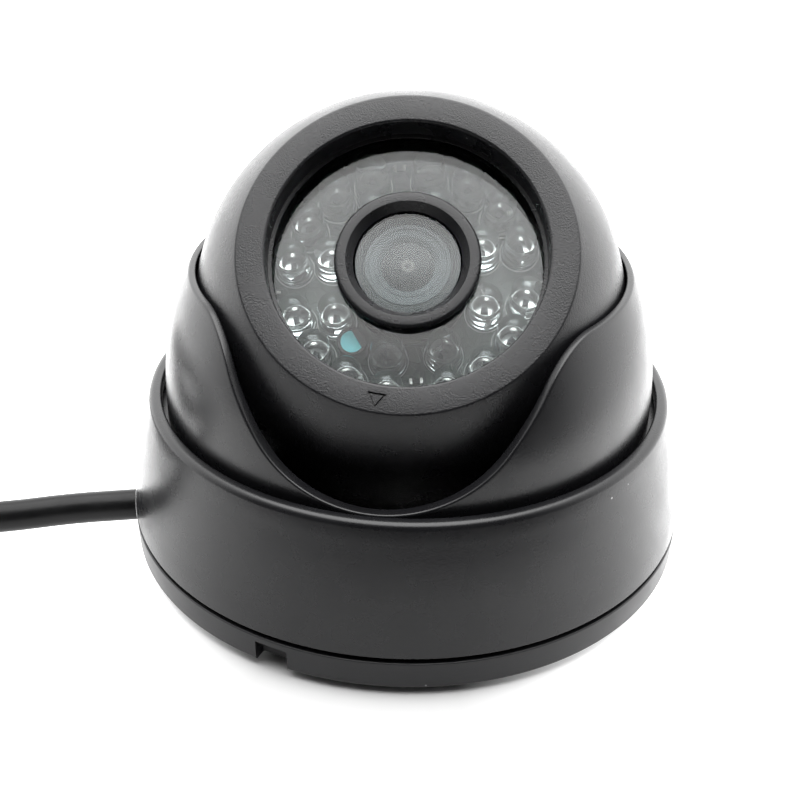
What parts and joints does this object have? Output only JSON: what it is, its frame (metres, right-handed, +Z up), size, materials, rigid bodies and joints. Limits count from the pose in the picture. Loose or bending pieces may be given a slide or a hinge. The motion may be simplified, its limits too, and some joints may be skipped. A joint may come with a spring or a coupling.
{
  "type": "dome cctv camera",
  "caption": "Dome security camera: a tilting ball with infrared LEDs and a small lens in a turning turret on a round base, with a cable lead.",
  "frame": {"origin": "centre of the base plate's underside", "axes": "+Z up out of the mounting surface, -Y the way the camera looks, +X to the right of someone who faces it"},
  "size_m": [0.2042, 0.1149, 0.0728],
  "materials": {
    "housing_plastic": "fine moulded grain, satin",
    "base_plastic": "fine moulded grain",
    "rubber": "matte rubber",
    "cable_jacket": "smooth matte jacket",
    "led_epoxy": "clear cast epoxy",
    "window_clear": "clear polycarbonate",
    "board": "solder mask",
    "cell_window": "tinted filter over the light cell",
    "lens_glass": "coated lens glass",
    "black_plastic": "moulded black",
    "connector_plastic": "natural nylon",
    "nickel": "nickel plating",
    "brass": "turned brass"
  },
  "bodies": {
    "base": {"base_plate": "base_plastic", "friction_ring": "rubber", "cable_grommet": "rubber", "cable": "cable_jacket", "cable_coil": "cable_jacket", "cable_tail": "cable_jacket", "coil_tie": "rubber", "splitter_boot": "cable_jacket", "video_lead": "cable_jacket", "power_lead": "cable_jacket", "video_connector": "nickel", "power_connector": "black_plastic"},
    "cover": {"cover_ring": "housing_plastic"},
    "turret": {"turret_shell": "housing_plastic"},
    "ball_rear": {"ball_rear_shell": "housing_plastic", "rear_grommet": "rubber"},
    "ball_front": {"ball_front_shell": "housing_plastic", "led_window": "window_clear", "window_gasket": "rubber", "lens_baffle": "housing_plastic", "led_board": "board", "led_01": "led_epoxy", "led_02": "led_epoxy", "led_03": "led_epoxy", "led_04": "led_epoxy", "led_05": "led_epoxy", "led_06": "led_epoxy", "led_07": "led_epoxy", "led_08": "led_epoxy", "led_09": "led_epoxy", "led_10": "led_epoxy", "led_11": "led_epoxy", "led_12": "led_epoxy", "led_13": "led_epoxy", "led_14": "led_epoxy", "led_15": "led_epoxy", "led_16": "led_epoxy", "led_17": "led_epoxy", "led_18": "led_epoxy", "led_19": "led_epoxy", "led_20": "led_epoxy", "led_21": "led_epoxy", "led_22": "led_epoxy", "led_23": "led_epoxy", "led_24": "led_epoxy", "photocell": "cell_window", "lens_holder": "black_plastic", "ir_cut_filter": "lens_glass", "image_sensor": "black_plastic", "sensor_board": "board", "board_standoff_1": "nickel", "board_standoff_2": "nickel", "board_screw_1": "nickel", "board_screw_2": "nickel", "led_connector": "connector_plastic", "harness_connector": "connector_plastic"},
    "lens": {"lens_barrel": "black_plastic", "lens_front_glass": "lens_glass", "lens_lock_ring": "brass"}
  },
  "joints": [
    {"name": "cover_twist", "type": "hinge", "parent": "base", "child": "cover", "pos_m": [0, 0, 0.015], "axis": [0, 0, 1], "range_deg": [0, 18]},
    {"name": "turret_pan", "type": "hinge", "parent": "base", "child": "turret", "pos_m": [0, 0, 0.0385], "axis": [0, 0, 1], "range_deg": [-175, 175]},
    {"name": "ball_tilt", "type": "hinge", "parent": "turret", "child": "ball_rear", "pos_m": [0, 0, 0.0385], "axis": [1, 0, 0], "range_deg": [-43.4, 31.6]},
    {"name": "ball_roll", "type": "hinge", "parent": "ball_rear", "child": "ball_front", "pos_m": [0, 0, 0.0385], "axis": [0, -0.6871, 0.7266], "range_deg": [-170, 170]},
    {"name": "lens_focus", "type": "hinge", "parent": "ball_front", "child": "lens", "pos_m": [0, 0, 0.0385], "axis": [0, -0.6871, 0.7266], "range_deg": [-180, 180]}
  ]
}
